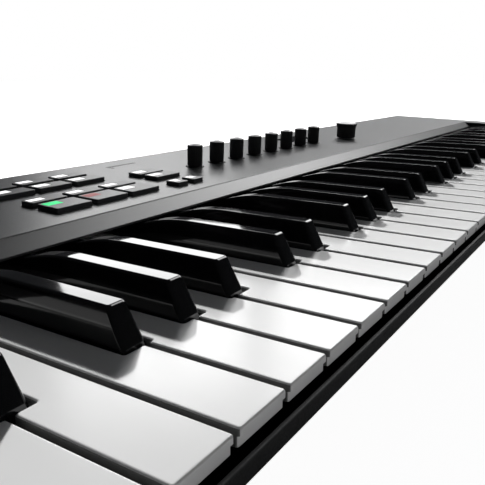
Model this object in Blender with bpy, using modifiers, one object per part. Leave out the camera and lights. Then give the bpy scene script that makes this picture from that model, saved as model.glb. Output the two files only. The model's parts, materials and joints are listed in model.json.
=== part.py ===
"""A 61-key keyboard controller, built from separate pieces.

Units are metres, +Z is up, +X runs to the right along the keys and +Y runs to the rear.
The origin is on the floor, under the middle of the case.
"""

import math

import bmesh
import bpy
from mathutils import Matrix, Vector

MM = 0.001

# Case
CASE_DEPTH = 250 * MM
LEFT_END = 128 * MM             # width of the end with the wheels, left of the keys
RIGHT_CHEEK = 32 * MM
WALL = 2.5 * MM
FRONT_WALL = 1.96 * MM          # thickness of the raked front wall, measured along Y
PARTING_BELOW_KEYS = 11.5 * MM  # where the top and bottom shells meet, below the white key tops
FLOOR_Z = 3.5 * MM              # underside of the bottom shell, above the feet
BELLY_SETBACK = 28 * MM         # how far the underside starts behind the front edge
REAR_CHAMFER = 8 * MM
REAR_TOP_CHAMFER = 3 * MM
CHEEK_NOSE = 4 * MM             # chamfer at the front top corner of each end
PANEL_TILT = math.radians(1.8)
CREASE_FROM_REAR = 109 * MM     # front edge of the control panel, measured from the rear
CREASE_ABOVE_KEYS = 14.3 * MM
LIP_FROM_CREASE = 7.5 * MM      # the fascia drops forward from the crease to the lip
LIP_DROP = 6.5 * MM
RAIL_THICKNESS = 2.3 * MM
RAIL_BELOW_KEYS = 6.2 * MM

# Clearances
GAP = 0.3 * MM                  # between two pieces that are fixed together
KEY_GAP = 1.3 * MM              # between two white keys
BLACK_GAP = 0.9 * MM            # between a black key and the white keys beside it
KEY_SIDE_GAP = 0.6 * MM         # between the opening and the outer key pitch
BUTTON_GAP = 0.35 * MM
SHAFT_GAP = 0.4 * MM

# Keys
OCTAVES = 5
WHITE_PITCH = 23.5 * MM
WHITE_COUNT = OCTAVES * 7 + 1
KEY_TOP_Z = 54.5 * MM
KEY_FRONT_FROM_CASE = 4 * MM    # key fronts stand this far behind the front of the case
WHITE_LIP = 2.2 * MM
WHITE_LIP_RECESS = 0.8 * MM
WHITE_FRONT_HEIGHT = 5.3 * MM
WHITE_NOSE = 9 * MM
WHITE_THICKNESS = 12 * MM
BLACK_FRONT = 48.3 * MM         # from the white key fronts to the foot of a black key
BLACK_FRONT_TOP = 55.6 * MM
BLACK_CURVE = 28.5 * MM         # the flat top curves down over this length before the lip
BLACK_HEIGHT = 12 * MM
BLACK_LIP_GAP = 0.8 * MM        # between the top of a black key and the lip over it
BLACK_TAIL_DROP = 1.5 * MM
BLACK_TAIL_RUN = 9 * MM         # length over which the top drops to the tail behind the lip
BLACK_TAIL_FLOOR = 2.2 * MM
BLACK_BASE_HALF = 5.2 * MM
BLACK_TOP_HALF = 3.7 * MM
BLACK_BASE_DROP = 1.8 * MM
BLACK_BOTTOM_DROP = 10 * MM
STEP_BEHIND_LIP = 20.5 * MM     # where the tail of a black key rises over the white keys
BLACK_STEP_RUN = 4 * MM
WHITE_WEB_BEHIND_LIP = 34.5 * MM
BLACK_WEB_BEHIND_LIP = 46.5 * MM
PIVOT_BEHIND_LIP = 60.5 * MM
KEY_BEHIND_PIVOT = 8 * MM
KEY_PIVOT_DROP = 8 * MM
BLACK_OFFSETS = (0.917, 2.083, 3.865, 5.0, 6.135)  # centres in white pitches from C
WHITE_NOTES = ("c", "d", "e", "f", "g", "a", "b")
BLACK_NOTES = ("cs", "ds", "fs", "gs", "as")
LOWEST_OCTAVE = 2

# Panel controls, placed along X from the left end of the keys, along the panel from its crease
CONTROL_START = 152.7 * MM
BUTTON_WIDTH = 21.6 * MM
BUTTON_SPACING = 3.1 * MM
BUTTON_HEIGHT = 2.3 * MM
BUTTON_DEPTH_BELOW = 3.4 * MM
BUTTON_TRAVEL = 0.8 * MM
BUTTON_ROWS = (  # distance from the crease, depth, names from left to right
    (15.3 * MM, 14 * MM, ("play", "record", "stop")),
    (32.6 * MM, 8.3 * MM, ("loop", "metronome", "tempo")),
    (57 * MM, 10.2 * MM, ("undo", "quantize", "automation")),
    (71.8 * MM, 9.2 * MM, ("shift", "scale", "arpeggio")),
)
PAIR_SPACING = 19.3 * MM        # from the third column of buttons to the pair
PAIR_ROWS = ((33.5 * MM, 10.4 * MM, "preset_down"), (46.9 * MM, 9.8 * MM, "preset_up"))
SMALL_WIDTH = 9 * MM
SMALL_DEPTH = 9.4 * MM
SMALL_SPACING = 5.3 * MM
SMALL_OVERHANG = 5.5 * MM       # the small buttons start this far left of the pair
SMALL_ROW = 12.9 * MM
ROCKER_WIDTH = 36 * MM
ROCKER_DEPTH = 12 * MM
KNOB_ROW = 48.5 * MM            # line of the knobs, from the crease
KNOB_COUNT = 8
KNOB_RADIUS = 5.2 * MM
KNOB_SPACING = 15.2 * MM
KNOBS_FROM_PAIR = 34.9 * MM     # from the pair of buttons to the middle of the first knob
KNOB_HEIGHT = 15.6 * MM
KNOB_LIFT = 0.7 * MM
KNOB_STEM_RADIUS = 3 * MM
ENCODER_FROM_KNOBS = 57.3 * MM
ENCODER_ROW = 41 * MM
ENCODER_TOP_RADIUS = 10.2 * MM
ENCODER_BODY_RADIUS = 9 * MM
ENCODER_HEIGHT = 16 * MM
ENCODER_LIFT = 1.1 * MM
ENCODER_BORE_DEPTH = 9 * MM
STEM_RADIUS = 3 * MM
ROUND_STEPS = 24
DISPLAY_FROM_ENCODER = 43 * MM
DISPLAY_ROW = 64 * MM
DISPLAY_WIDTH = 44 * MM
DISPLAY_DEPTH = 22 * MM
DISPLAY_THICKNESS = 1.6 * MM
BOARD_DROP = 5.9 * MM           # top of the main board below the panel surface
BOARD_THICKNESS = 1.6 * MM
BOARD_MARGIN = 8 * MM
BOARD_PAST_ENCODER = 27 * MM

# Pitch and modulation wheels in the left end
WHEEL_RADIUS = 24 * MM
WHEEL_HALF_WIDTH = 5.5 * MM
WHEEL_PROTRUSION = 11 * MM
WHEEL_FROM_FRONT = 75 * MM
WHEEL_SPREAD = 44 * MM
WHEEL_NOTCH_RADIUS = 6 * MM
WHEEL_NOTCH_DEPTH = 1.6 * MM
AXLE_RADIUS = 3 * MM
POST_THICKNESS = 3 * MM
POST_DEPTH = 16 * MM
POST_ABOVE_AXLE = 7 * MM

# Inside and underneath
FRAME_DROP = 24 * MM            # top of the keybed frame below the white key tops
FRAME_THICKNESS = 2 * MM
FRAME_FRONT = 20 * MM
FRAME_BEHIND_KEYS = 7 * MM
PIVOT_RIDGE_HALF = 2 * MM
PIVOT_RIDGE_GAP = 0.4 * MM
RIB_THICKNESS = 3 * MM
FRONT_RIB = 60 * MM
FOOT_RADIUS = 10 * MM
FOOT_INSET_X = 57 * MM
FOOT_INSET_FRONT = 15 * MM
FOOT_INSET_REAR = 17 * MM
SOCKET_Z = 27 * MM
USB_INSET = 117 * MM            # from the left end of the case
USB_WIDTH = 12 * MM
USB_TALL = 11 * MM
USB_DEPTH = 19 * MM
USB_MOUTH_WIDTH = 8.4 * MM
USB_MOUTH_TALL = 7.8 * MM
USB_MOUTH_DEPTH = 9 * MM
JACK_INSET = 157 * MM
JACK_RADIUS = 5.5 * MM
JACK_BORE_RADIUS = 3.3 * MM
JACK_DEPTH = 27 * MM
JACK_BORE_DEPTH = 22 * MM

# Worked out from the values above
CASE_LENGTH = LEFT_END + WHITE_COUNT * WHITE_PITCH + RIGHT_CHEEK
LEFT = -CASE_LENGTH / 2
RIGHT = CASE_LENGTH / 2
FRONT = -CASE_DEPTH / 2
REAR = CASE_DEPTH / 2
KEYS_RIGHT = RIGHT - RIGHT_CHEEK
KEYS_LEFT = KEYS_RIGHT - WHITE_COUNT * WHITE_PITCH
KEY_FRONT = FRONT + KEY_FRONT_FROM_CASE
OPENING_LEFT = KEYS_LEFT - KEY_SIDE_GAP
OPENING_RIGHT = KEYS_RIGHT + KEY_SIDE_GAP
PARTING_Z = KEY_TOP_Z - PARTING_BELOW_KEYS
CREASE_Y = REAR - CREASE_FROM_REAR
CREASE_Z = KEY_TOP_Z + CREASE_ABOVE_KEYS
LIP_Y = CREASE_Y - LIP_FROM_CREASE
LIP_Z = CREASE_Z - LIP_DROP
BLACK_REAR = LIP_Y - KEY_FRONT
BLACK_SHOULDER = BLACK_REAR - BLACK_CURVE
BLACK_REAR_HEIGHT = LIP_Z - KEY_TOP_Z - BLACK_LIP_GAP
BLACK_TAIL_HEIGHT = BLACK_REAR_HEIGHT - BLACK_TAIL_DROP
BLACK_STEP = BLACK_REAR + STEP_BEHIND_LIP
WHITE_WEB_START = BLACK_REAR + WHITE_WEB_BEHIND_LIP
BLACK_WEB_START = BLACK_REAR + BLACK_WEB_BEHIND_LIP
KEY_PIVOT = BLACK_REAR + PIVOT_BEHIND_LIP
KEY_LENGTH = KEY_PIVOT + KEY_BEHIND_PIVOT
FRAME_REAR = KEY_LENGTH + FRAME_BEHIND_KEYS
CONTROL_PITCH = BUTTON_WIDTH + BUTTON_SPACING
SMALL_PITCH = SMALL_WIDTH + SMALL_SPACING
KNOB_PITCH = KNOB_RADIUS * 2 + KNOB_SPACING
PAIR_START = CONTROL_START + CONTROL_PITCH * 2 + BUTTON_WIDTH + PAIR_SPACING
KNOB_START = PAIR_START + BUTTON_WIDTH + KNOBS_FROM_PAIR
ENCODER_X = KNOB_START + KNOB_PITCH * (KNOB_COUNT - 1) + ENCODER_FROM_KNOBS
DISPLAY_X = ENCODER_X - DISPLAY_FROM_ENCODER
PAST = 20 * MM                  # how far a cutter runs past what it cuts
PANEL = Matrix.Translation((0, CREASE_Y, CREASE_Z)) @ Matrix.Rotation(PANEL_TILT, 4, "X")
LEFT_MIDDLE = (LEFT + OPENING_LEFT - WALL) / 2
WHEEL_Y = FRONT + WHEEL_FROM_FRONT
BOARD_FRONT = SMALL_ROW - BOARD_MARGIN / 2
PARTS = None
CUTTERS = None


def panel_z(y):
    """Height of the panel plane at y."""
    return CREASE_Z + (y - CREASE_Y) * math.tan(PANEL_TILT)


def clear_scene():
    for thing in list(bpy.data.objects):
        bpy.data.objects.remove(thing, do_unlink=True)


def new_collection(name):
    made = bpy.data.collections.new(name)
    bpy.context.scene.collection.children.link(made)
    return made


def add_object(name, mesh, cutter=False):
    thing = bpy.data.objects.new(name, mesh)
    (CUTTERS if cutter else PARTS).objects.link(thing)
    if cutter:
        thing.hide_render = True
        thing.display_type = "WIRE"
    return thing


def mesh_from(bm, name):
    mesh = bpy.data.meshes.new(name)
    bmesh.ops.recalc_face_normals(bm, faces=bm.faces)
    bm.to_mesh(mesh)
    bm.free()
    return mesh


def add_box(bm, low, high, matrix=Matrix()):
    """A box between two corners, in the frame that matrix gives."""
    size = Vector(high) - Vector(low)
    middle = (Vector(high) + Vector(low)) / 2
    made = bmesh.ops.create_cube(bm, size=1.0, matrix=matrix @ Matrix.LocRotScale(middle, None, size))
    return made["verts"]


def add_cylinder(bm, matrix, radius, depth, steps=ROUND_STEPS):
    """A cylinder centred on matrix, along its Z axis."""
    bmesh.ops.create_cone(bm, cap_ends=True, segments=steps, radius1=radius, radius2=radius,
                          depth=depth, matrix=matrix)


def box(name, low, high, matrix=Matrix(), cutter=False):
    bm = bmesh.new()
    add_box(bm, low, high, matrix)
    return add_object(name, mesh_from(bm, name), cutter)


def prism(name, outline, x_low, x_high, cutter=False):
    """A side outline, given as (y, z) points, extruded along X."""
    curve = bpy.data.curves.new(name, "CURVE")
    curve.dimensions = "2D"
    curve.fill_mode = "BOTH"
    curve.extrude = (x_high - x_low) / 2
    spline = curve.splines.new("POLY")
    spline.points.add(len(outline) - 1)
    for point, (y, z) in zip(spline.points, outline):
        point.co = (y, z, 0, 1)
    spline.use_cyclic_u = True
    loose = bpy.data.objects.new(name + "_outline", curve)
    bpy.context.scene.collection.objects.link(loose)
    bpy.context.view_layer.update()
    evaluated = loose.evaluated_get(bpy.context.evaluated_depsgraph_get())
    mesh = bpy.data.meshes.new_from_object(evaluated)
    bpy.data.objects.remove(loose, do_unlink=True)
    bm = bmesh.new()
    bm.from_mesh(mesh)
    bpy.data.meshes.remove(mesh)
    bmesh.ops.remove_doubles(bm, verts=bm.verts, dist=GAP / 10)
    turn = Matrix(((0, 0, 1), (1, 0, 0), (0, 1, 0))).to_4x4()
    bmesh.ops.transform(bm, matrix=Matrix.Translation(((x_low + x_high) / 2, 0, 0)) @ turn, verts=bm.verts)
    return add_object(name, mesh_from(bm, name), cutter)


def turned(name, profile, matrix):
    """A profile of (radius, height) points, top to bottom, turned about the Z axis of matrix."""
    mesh = bpy.data.meshes.new(name)
    points = [(radius, 0, height) for radius, height in profile]
    edges = [(i, i + 1) for i in range(len(points) - 1)]
    mesh.from_pydata(points, edges, [])
    thing = add_object(name, mesh)
    thing.matrix_world = matrix
    screw = thing.modifiers.new("turn", "SCREW")
    screw.axis = "Z"
    screw.steps = ROUND_STEPS
    screw.render_steps = ROUND_STEPS
    screw.use_merge_vertices = True
    screw.merge_threshold = 0.00001
    screw.use_smooth_shade = True
    return thing


def boolean(target, other, operation):
    modifier = target.modifiers.new(operation.lower(), "BOOLEAN")
    modifier.operation = operation
    modifier.solver = "EXACT"
    modifier.object = other


def move_origin(thing, point):
    """Put an object's origin on its joint axis without moving its surface."""
    thing.data.transform(Matrix.Translation(-Vector(point)))
    thing.location = point


def finish(thing, colour, roughness, metallic=0.0):
    material = bpy.data.materials.new(thing.name)
    material.use_nodes = True
    shader = material.node_tree.nodes["Principled BSDF"]
    shader.inputs["Base Color"].default_value = (*colour, 1)
    shader.inputs["Roughness"].default_value = roughness
    shader.inputs["Metallic"].default_value = metallic
    thing.data.materials.append(material)
    return thing


# Controls and where they sit -------------------------------------------------------------------

def button_places():
    """Every panel button as (name, x, distance from the crease, width, depth)."""
    places = []
    for row, depth, names in BUTTON_ROWS:
        for column, name in enumerate(names):
            x = KEYS_LEFT + CONTROL_START + column * CONTROL_PITCH
            places.append((name, x, row, BUTTON_WIDTH, depth))
    for row, depth, name in PAIR_ROWS:
        places.append((name, KEYS_LEFT + PAIR_START, row, BUTTON_WIDTH, depth))
    for column, name in enumerate(("page_left", "page_right")):
        x = KEYS_LEFT + PAIR_START - SMALL_OVERHANG + column * SMALL_PITCH
        places.append((name, x, SMALL_ROW, SMALL_WIDTH, SMALL_DEPTH))
    return places


def rocker_place():
    """The middle of the octave rocker, on the panel behind the wheels."""
    return panel_place(LEFT_MIDDLE, BUTTON_ROWS[0][0] + ROCKER_DEPTH / 2)


def panel_place(x, along):
    """A frame on the panel surface, with its Z axis square to the panel."""
    return PANEL @ Matrix.Translation((x, along, 0))


def wheel_places():
    z = panel_z(WHEEL_Y) + WHEEL_PROTRUSION - WHEEL_RADIUS
    return (
        ("pitch_wheel", Vector((LEFT_MIDDLE - WHEEL_SPREAD / 2, WHEEL_Y, z))),
        ("mod_wheel", Vector((LEFT_MIDDLE + WHEEL_SPREAD / 2, WHEEL_Y, z))),
    )


# Case ------------------------------------------------------------------------------------------

def key_opening():
    """Cutter for the space over the keys and the slot under the lip of the sloping fascia."""
    low = FLOOR_Z
    high = CREASE_Z + PAST
    run = PAST * LIP_FROM_CREASE / LIP_DROP
    behind = LIP_Y + PAST
    outline = ((FRONT - PAST, low), (behind, low), (behind, LIP_Z), (LIP_Y, LIP_Z),
               (CREASE_Y + run, high), (FRONT - PAST, high))
    return prism("key_opening", outline, OPENING_LEFT, OPENING_RIGHT, cutter=True)


def top_hollows():
    """Cutters that leave the top shell as walls of one thickness."""
    low = PARTING_Z - PAST
    inner_crease = CREASE_Y + WALL * 0.6
    inner_rear = REAR - WALL
    middle = prism("top_hollow", (
        (LIP_Y + WALL, low), (LIP_Y + WALL, LIP_Z + GAP),
        (inner_crease, panel_z(inner_crease) - WALL),
        (inner_rear - REAR_TOP_CHAMFER, panel_z(inner_rear - REAR_TOP_CHAMFER) - WALL),
        (inner_rear, panel_z(inner_rear) - WALL - REAR_TOP_CHAMFER), (inner_rear, low),
    ), LEFT + WALL, RIGHT - WALL, cutter=True)
    wall = WALL + GAP
    front = FRONT + wall
    behind = LIP_Y + wall + PAST
    ends = (
        (front, low), (front, panel_z(front) - wall - CHEEK_NOSE),
        (front + CHEEK_NOSE, panel_z(front + CHEEK_NOSE) - wall),
        (behind, panel_z(behind) - wall), (behind, low),
    )
    left = prism("left_hollow", ends, LEFT + wall, OPENING_LEFT - wall, cutter=True)
    right = prism("right_hollow", ends, OPENING_RIGHT + wall, RIGHT - wall, cutter=True)
    return middle, left, right


def panel_holes():
    """One cutter with every hole through the panel and the left end."""
    bm = bmesh.new()
    below = -WALL * 2
    for _, x, row, width, depth in button_places():
        add_box(bm, (x - BUTTON_GAP, row - BUTTON_GAP, below),
                (x + width + BUTTON_GAP, row + depth + BUTTON_GAP, WALL), PANEL)
    half = Vector((ROCKER_WIDTH / 2 + BUTTON_GAP, ROCKER_DEPTH / 2 + BUTTON_GAP, -below))
    add_box(bm, -half, half, rocker_place())
    for number in range(KNOB_COUNT):
        place = panel_place(KEYS_LEFT + KNOB_START + number * KNOB_PITCH, KNOB_ROW)
        add_cylinder(bm, place, KNOB_STEM_RADIUS + SHAFT_GAP, -below * 2)
    place = panel_place(KEYS_LEFT + ENCODER_X, ENCODER_ROW)
    add_cylinder(bm, place, STEM_RADIUS + SHAFT_GAP, -below * 2)
    x = KEYS_LEFT + DISPLAY_X
    add_box(bm, (x - DISPLAY_WIDTH / 2, DISPLAY_ROW, below),
            (x + DISPLAY_WIDTH / 2, DISPLAY_ROW + DISPLAY_DEPTH, WALL), PANEL)
    inner = WHEEL_RADIUS - WHEEL_PROTRUSION - WALL - KEY_GAP
    half_length = math.sqrt(WHEEL_RADIUS ** 2 - inner ** 2) + KEY_GAP
    for _, centre in wheel_places():
        half = Vector((WHEEL_HALF_WIDTH + KEY_GAP, half_length, 0))
        add_box(bm, centre - half, centre + half + Vector((0, 0, WHEEL_RADIUS + PAST)))
    return add_object("panel_holes", mesh_from(bm, "panel_holes"), cutter=True)


def make_top_case():
    outline = (
        (FRONT, PARTING_Z + GAP / 2), (FRONT, panel_z(FRONT) - CHEEK_NOSE),
        (FRONT + CHEEK_NOSE, panel_z(FRONT + CHEEK_NOSE)),
        (REAR - REAR_TOP_CHAMFER, panel_z(REAR - REAR_TOP_CHAMFER)),
        (REAR, panel_z(REAR) - REAR_TOP_CHAMFER), (REAR, PARTING_Z + GAP / 2),
    )
    shell = prism("top_case", outline, LEFT, RIGHT)
    for hollow in top_hollows():
        boolean(shell, hollow, "DIFFERENCE")
    boolean(shell, key_opening(), "DIFFERENCE")
    boolean(shell, panel_holes(), "DIFFERENCE")
    return finish(shell, (0.045, 0.046, 0.048), 0.42)


def bottom_additions():
    """The key rail, the ribs under the keybed and the posts that hold the wheel axles."""
    bm = bmesh.new()
    inside = FLOOR_Z + WALL / 2
    rail_top = KEY_TOP_Z - RAIL_BELOW_KEYS
    add_box(bm, (OPENING_LEFT + GAP, FRONT, PARTING_Z - WALL),
            (OPENING_RIGHT - GAP, FRONT + RAIL_THICKNESS, rail_top))
    rib_top = KEY_TOP_Z - FRAME_DROP - FRAME_THICKNESS - GAP
    for along in (FRONT_RIB, KEY_PIVOT):
        y = KEY_FRONT + along
        add_box(bm, (KEYS_LEFT, y - RIB_THICKNESS / 2, inside),
                (KEYS_RIGHT, y + RIB_THICKNESS / 2, rib_top))
    centre = wheel_places()[0][1]
    for side in (-1, 0, 1):
        x = LEFT_MIDDLE + side * (WHEEL_SPREAD / 2 + WHEEL_HALF_WIDTH + AXLE_RADIUS * 2)
        add_box(bm, (x - POST_THICKNESS / 2, WHEEL_Y - POST_DEPTH / 2, inside),
                (x + POST_THICKNESS / 2, WHEEL_Y + POST_DEPTH / 2, centre.z + POST_ABOVE_AXLE))
    return add_object("bottom_additions", mesh_from(bm, "bottom_additions"), cutter=True)


def bottom_holes():
    """The axle holes in the posts, and the holes for the sockets in the rear wall."""
    bm = bmesh.new()
    centre = wheel_places()[0][1]
    sideways = Matrix.Rotation(math.radians(90), 4, "Y")
    span = WHEEL_SPREAD + WHEEL_RADIUS * 2
    add_cylinder(bm, Matrix.Translation((LEFT_MIDDLE, WHEEL_Y, centre.z)) @ sideways,
                 AXLE_RADIUS + GAP, span)
    x = LEFT + USB_INSET
    half_width = USB_WIDTH / 2 + GAP
    half_tall = USB_TALL / 2 + GAP
    add_box(bm, (x - half_width, REAR - WALL * 2, SOCKET_Z - half_tall),
            (x + half_width, REAR + WALL, SOCKET_Z + half_tall))
    backward = Matrix.Rotation(math.radians(90), 4, "X")
    add_cylinder(bm, Matrix.Translation((LEFT + JACK_INSET, REAR, SOCKET_Z)) @ backward,
                 JACK_RADIUS + GAP, WALL * 4)
    return add_object("bottom_holes", mesh_from(bm, "bottom_holes"), cutter=True)


def make_bottom_case():
    top = PARTING_Z - GAP / 2
    outline = (
        (FRONT, top), (FRONT + BELLY_SETBACK, FLOOR_Z), (REAR - REAR_CHAMFER, FLOOR_Z),
        (REAR, FLOOR_Z + REAR_CHAMFER), (REAR, top),
    )
    tray = prism("bottom_case", outline, LEFT, RIGHT)
    rake = BELLY_SETBACK / (top - FLOOR_Z)
    floor = FLOOR_Z + WALL
    hollow = prism("bottom_hollow", (
        (FRONT + FRONT_WALL - PAST * rake, top + PAST),
        (FRONT + FRONT_WALL + (top - floor) * rake, floor),
        (REAR - REAR_CHAMFER, floor), (REAR - WALL, FLOOR_Z + REAR_CHAMFER),
        (REAR - WALL, top + PAST),
    ), LEFT + WALL, RIGHT - WALL, cutter=True)
    boolean(tray, hollow, "DIFFERENCE")
    boolean(tray, bottom_additions(), "UNION")
    boolean(tray, bottom_holes(), "DIFFERENCE")
    return finish(tray, (0.02, 0.02, 0.021), 0.5)


# Keys ------------------------------------------------------------------------------------------

def black_centre(index):
    """X of a black key's middle, counted from the lowest one."""
    octave, step = divmod(index, len(BLACK_OFFSETS))
    return KEYS_LEFT + (octave * 7 + BLACK_OFFSETS[step]) * WHITE_PITCH


def white_outline():
    top = KEY_TOP_Z
    return (
        (KEY_FRONT, top), (KEY_FRONT, top - WHITE_LIP),
        (KEY_FRONT + WHITE_LIP_RECESS, top - WHITE_LIP - WHITE_LIP_RECESS / 2),
        (KEY_FRONT + WHITE_LIP_RECESS, top - WHITE_FRONT_HEIGHT),
        (KEY_FRONT + WHITE_NOSE, top - WHITE_FRONT_HEIGHT),
        (KEY_FRONT + WHITE_NOSE, top - WHITE_THICKNESS),
        (KEY_FRONT + KEY_LENGTH, top - WHITE_THICKNESS), (KEY_FRONT + KEY_LENGTH, top),
    )


def white_cutter(name, first, count):
    """Gaps between neighbouring white keys and the cut-outs for the black keys among them."""
    bm = bmesh.new()
    low = KEY_TOP_Z - WHITE_THICKNESS - PAST
    high = KEY_TOP_Z + PAST
    left = KEYS_LEFT + first * WHITE_PITCH
    right = left + count * WHITE_PITCH
    reach = BLACK_BASE_HALF + BLACK_GAP
    for number in range(1, count):
        x = left + number * WHITE_PITCH
        add_box(bm, (x - KEY_GAP / 2, KEY_FRONT - PAST, low),
                (x + KEY_GAP / 2, KEY_FRONT + WHITE_WEB_START, high))
    cut_rear = KEY_FRONT + BLACK_STEP + (WHITE_WEB_START - BLACK_STEP) / 2
    slots = bmesh.new()
    for index in range(OCTAVES * len(BLACK_OFFSETS)):
        x = black_centre(index)
        if left - reach < x < right + reach:
            add_box(slots, (x - reach, KEY_FRONT + BLACK_FRONT - BLACK_GAP, low - MM),
                    (x + reach, cut_rear, high + MM))
    gaps = add_object(name + "_gaps", mesh_from(bm, name + "_gaps"), cutter=True)
    cuts = add_object(name + "_cuts", mesh_from(slots, name + "_cuts"), cutter=True)
    return gaps, cuts


def make_white_keys(name, first, count):
    left = KEYS_LEFT + first * WHITE_PITCH + KEY_GAP / 2
    right = KEYS_LEFT + (first + count) * WHITE_PITCH - KEY_GAP / 2
    keys = prism(name, white_outline(), left, right)
    gaps, cuts = white_cutter(name, first, count)
    if count > 1:
        boolean(keys, gaps, "DIFFERENCE")
    else:
        bpy.data.objects.remove(gaps, do_unlink=True)
    boolean(keys, cuts, "DIFFERENCE")
    set_key_origin(keys, (left + right) / 2)
    return finish(keys, (0.86, 0.86, 0.85), 0.18)


def set_key_origin(thing, x):
    move_origin(thing, (x, KEY_FRONT + KEY_PIVOT, KEY_TOP_Z - KEY_PIVOT_DROP))


def black_top(along):
    """Height of a black key's top over the white keys, at a distance from the white fronts."""
    if along <= BLACK_SHOULDER:
        return BLACK_HEIGHT
    if along > BLACK_REAR + BLACK_TAIL_RUN / 2:
        return BLACK_TAIL_HEIGHT
    turn = (along - BLACK_SHOULDER) / (BLACK_REAR - BLACK_SHOULDER)
    return BLACK_HEIGHT - (BLACK_HEIGHT - BLACK_REAR_HEIGHT) * turn ** 2


def black_bottom(along):
    return BLACK_TAIL_FLOOR if along > BLACK_STEP + BLACK_STEP_RUN / 2 else -BLACK_BOTTOM_DROP


def add_black_key(bm, x):
    """One black key: a box cut into slices, then shaped by height and distance."""
    run = BLACK_REAR - BLACK_SHOULDER
    slices = [BLACK_SHOULDER + run * step / 3 for step in range(4)]
    slices += [BLACK_REAR + BLACK_TAIL_RUN, BLACK_STEP, BLACK_STEP + BLACK_STEP_RUN]
    one = bmesh.new()
    add_box(one, (-1, BLACK_FRONT, -1), (1, KEY_LENGTH, 1))
    for along in slices:
        everything = one.verts[:] + one.edges[:] + one.faces[:]
        bmesh.ops.bisect_plane(one, geom=everything, plane_co=(0, along, 0), plane_no=(0, 1, 0))
    everything = one.verts[:] + one.edges[:] + one.faces[:]
    bmesh.ops.bisect_plane(one, geom=everything, plane_co=(0, 0, 0), plane_no=(0, 0, 1))
    for vert in one.verts:
        side, along, level = vert.co
        top = black_top(along)
        bottom = black_bottom(along)
        half = BLACK_BASE_HALF
        z = bottom
        if level > 0.5:
            z = top
            half = BLACK_TOP_HALF
            along = max(along, BLACK_FRONT_TOP)
        elif level > -0.5:
            z = max(-BLACK_BASE_DROP, (bottom * 2 + top) / 3)
        vert.co = (x + side * half, KEY_FRONT + along, KEY_TOP_Z + z)
    mesh = mesh_from(one, "black_key_shape")
    bm.from_mesh(mesh)
    bpy.data.meshes.remove(mesh)


def make_black_keys(name, first, count):
    bm = bmesh.new()
    for index in range(first, first + count):
        add_black_key(bm, black_centre(index))
    keys = add_object(name, mesh_from(bm, name))
    left = black_centre(first)
    right = black_centre(first + count - 1)
    if count > 1:
        web = box(name + "_web", (left, KEY_FRONT + BLACK_WEB_START, KEY_TOP_Z + BLACK_TAIL_FLOOR + GAP),
                  (right, KEY_FRONT + KEY_LENGTH - MM, KEY_TOP_Z + BLACK_TAIL_HEIGHT - GAP), cutter=True)
        boolean(keys, web, "UNION")
    set_key_origin(keys, (left + right) / 2)
    return finish(keys, (0.012, 0.012, 0.013), 0.12)


def make_keys():
    for note, first in zip(WHITE_NOTES, range(7)):
        make_white_keys(f"key_{note}{LOWEST_OCTAVE}", first, 1)
    for note, first in zip(BLACK_NOTES, range(5)):
        make_black_keys(f"key_{note}{LOWEST_OCTAVE}", first, 1)
    for octave in range(1, OCTAVES):
        label = LOWEST_OCTAVE + octave
        count = 8 if octave == OCTAVES - 1 else 7
        make_white_keys(f"white_keys_octave_{label}", octave * 7, count)
        make_black_keys(f"black_keys_octave_{label}", octave * 5, 5)


# Controls --------------------------------------------------------------------------------------

def make_buttons():
    for name, x, row, width, depth in button_places():
        thing = box(name + "_button", (0, 0, -BUTTON_DEPTH_BELOW), (width, depth, BUTTON_HEIGHT))
        thing.matrix_world = panel_place(x, row)
        finish(thing, (0.06, 0.06, 0.062), 0.5)


def make_octave_rocker():
    """One long button that tips to the left or to the right."""
    half = Vector((ROCKER_WIDTH / 2, ROCKER_DEPTH / 2, 0))
    thing = box("octave_rocker", -half - Vector((0, 0, BUTTON_DEPTH_BELOW)),
                half + Vector((0, 0, BUTTON_HEIGHT)))
    thing.matrix_world = rocker_place()
    finish(thing, (0.06, 0.06, 0.062), 0.5)


def make_knobs():
    chamfer = KNOB_RADIUS / 10
    stem_end = GAP - BOARD_DROP
    profile = (
        (0, KNOB_HEIGHT), (KNOB_RADIUS - chamfer, KNOB_HEIGHT), (KNOB_RADIUS, KNOB_HEIGHT - chamfer),
        (KNOB_RADIUS, KNOB_LIFT), (KNOB_STEM_RADIUS, KNOB_LIFT), (KNOB_STEM_RADIUS, stem_end),
        (0, stem_end),
    )
    for number in range(KNOB_COUNT):
        x = KEYS_LEFT + KNOB_START + number * KNOB_PITCH
        thing = turned(f"knob_{number + 1}", profile, panel_place(x, KNOB_ROW))
        finish(thing, (0.015, 0.015, 0.016), 0.55)


def make_encoder():
    place = panel_place(KEYS_LEFT + ENCODER_X, ENCODER_ROW)
    bore_top = ENCODER_LIFT + ENCODER_BORE_DEPTH
    chamfer = ENCODER_TOP_RADIUS / 12
    stem_end = BUTTON_TRAVEL + GAP - BOARD_DROP
    stem = turned("encoder_stem", (
        (0, bore_top - GAP), (STEM_RADIUS, bore_top - GAP), (STEM_RADIUS, stem_end), (0, stem_end),
    ), place)
    finish(stem, (0.5, 0.5, 0.51), 0.35, 1.0)
    cap = turned("encoder_cap", (
        (0, ENCODER_HEIGHT), (ENCODER_TOP_RADIUS - chamfer, ENCODER_HEIGHT),
        (ENCODER_TOP_RADIUS, ENCODER_HEIGHT - chamfer),
        (ENCODER_TOP_RADIUS, ENCODER_HEIGHT - chamfer * 3),
        (ENCODER_BODY_RADIUS, ENCODER_HEIGHT - chamfer * 6), (ENCODER_BODY_RADIUS, ENCODER_LIFT),
        (STEM_RADIUS + GAP, ENCODER_LIFT), (STEM_RADIUS + GAP, bore_top), (0, bore_top),
    ), place)
    finish(cap, (0.02, 0.02, 0.021), 0.4)


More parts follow.
